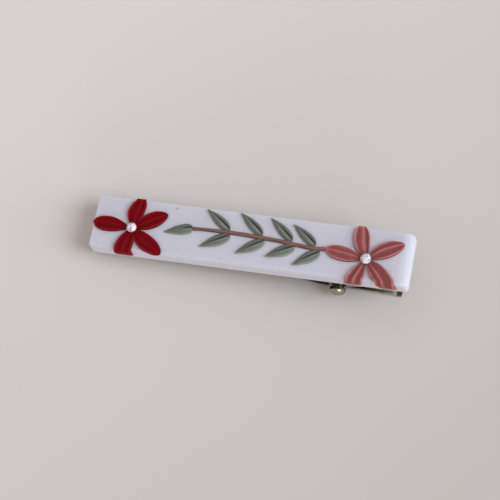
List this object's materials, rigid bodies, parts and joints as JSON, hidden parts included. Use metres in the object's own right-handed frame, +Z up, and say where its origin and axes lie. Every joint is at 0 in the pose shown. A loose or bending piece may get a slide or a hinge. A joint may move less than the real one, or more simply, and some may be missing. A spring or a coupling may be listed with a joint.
{
  "type": "flower hair clip",
  "caption": "Slim bar hair clip: a white clay bar with two flowers, a leafy stem and crystal centres, glued on a sprung steel pinch clip with a toothed jaw.",
  "frame": {"origin": "under the middle of the bar, level with the lowest face of the lever", "axes": "+X along the bar from the jaw's tip to the lever, +Y to the bar's back long edge, +Z up out of the decorated face"},
  "size_m": [0.06, 0.012, 0.0124],
  "materials": {
    "white_clay": "satin baked clay, bluish white",
    "red_clay": "satin baked clay, crimson",
    "rose_clay": "satin baked clay, dusty rose",
    "green_clay": "satin baked clay, grey green",
    "brown_clay": "satin baked clay, red brown",
    "crystal": "faceted foil-backed crystal",
    "nickel": "nickel-plated pressed steel",
    "spring_steel": "bright drawn spring wire",
    "glue": "thin clear adhesive"
  },
  "bodies": {
    "lower_half": {"lower_arm": "nickel", "spring": "spring_steel"},
    "upper_half": {"top_arm": "nickel", "hinge_pin": "nickel", "glue_film": "glue", "clay_bar": "white_clay", "stem": "brown_clay", "tip_leaf": "green_clay", "upper_leaf_1": "green_clay", "upper_leaf_2": "green_clay", "upper_leaf_3": "green_clay", "upper_leaf_4": "green_clay", "lower_leaf_1": "green_clay", "lower_leaf_2": "green_clay", "lower_leaf_3": "green_clay", "lower_leaf_4": "green_clay", "red_petal_1": "red_clay", "red_petal_2": "red_clay", "red_petal_3": "red_clay", "red_petal_4": "red_clay", "red_petal_5": "red_clay", "rose_petal_1": "rose_clay", "rose_petal_2": "rose_clay", "rose_petal_3": "rose_clay", "rose_petal_4": "rose_clay", "rose_petal_5": "rose_clay", "red_stone": "crystal", "rose_stone": "crystal"}
  },
  "joints": [
    {"name": "jaw_hinge", "type": "hinge", "parent": "lower_half", "child": "upper_half", "pos_m": [0.0165, 0, 0.00389], "axis": [0, 1, 0], "range_deg": [0, 24], "stiffness_Nm_per_rad": 0.14, "springref_deg": -20.63, "deforming": ["spring"]}
  ]
}
